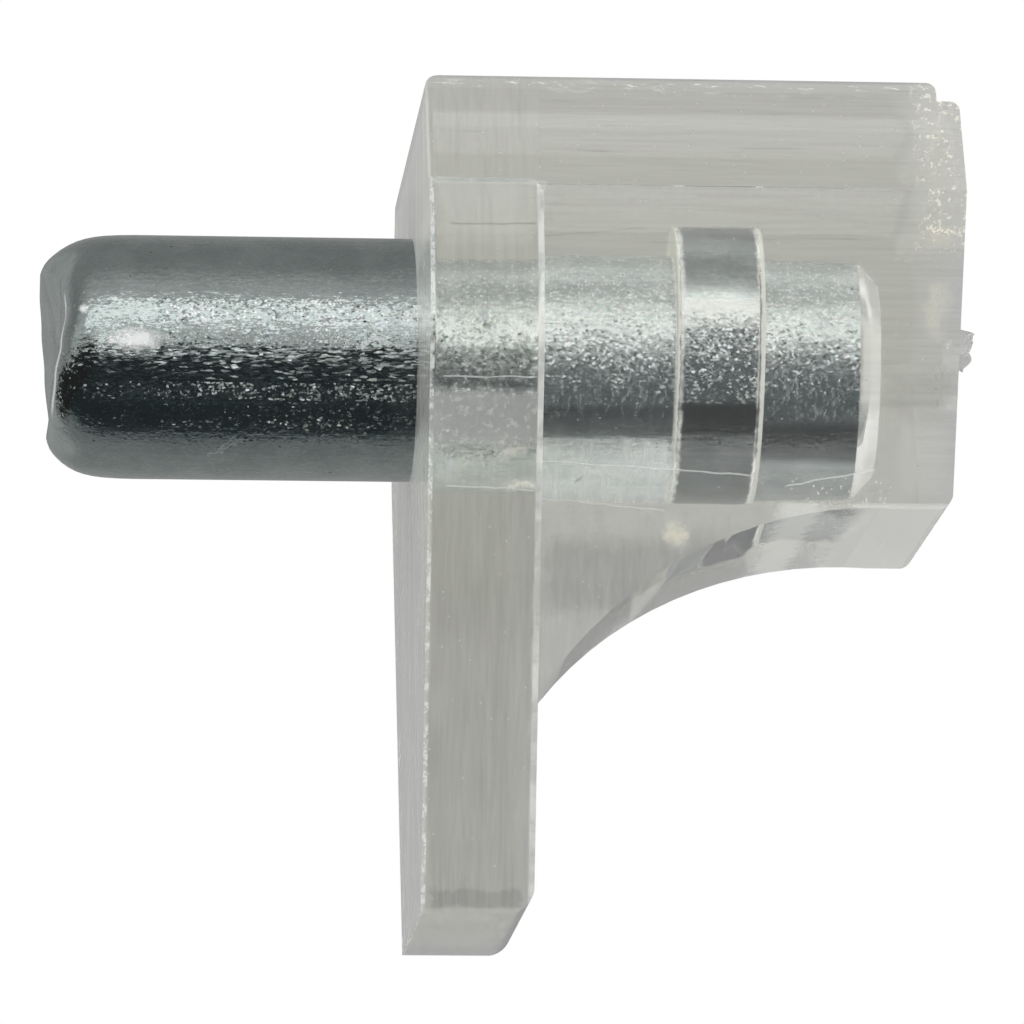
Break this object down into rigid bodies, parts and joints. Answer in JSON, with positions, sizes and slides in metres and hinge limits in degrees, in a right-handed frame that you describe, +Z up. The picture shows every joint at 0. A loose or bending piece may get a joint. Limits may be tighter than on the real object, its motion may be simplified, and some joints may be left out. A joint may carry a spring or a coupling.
{
  "type": "shelf support pin",
  "caption": "Steel shelf pin with a clear plastic bracket moulded over one end: the pin plugs into a hole in a cabinet side and the bracket's flat top carries a shelf.",
  "frame": {"origin": "on the pin's axis, in the plane of the bracket's back face", "axes": "-X along the pin, out of the back face; +Z up, square to the shelf seat; +Y to the far side"},
  "size_m": [0.0193, 0.013, 0.0166],
  "materials": {
    "zinc_steel": "zinc plated, satin, with fine sparkle",
    "clear_plastic": "clear moulded plastic with fine flow lines"
  },
  "bodies": {
    "root": {"steel_pin": "zinc_steel", "clear_bracket": "clear_plastic"}
  },
  "joints": []
}
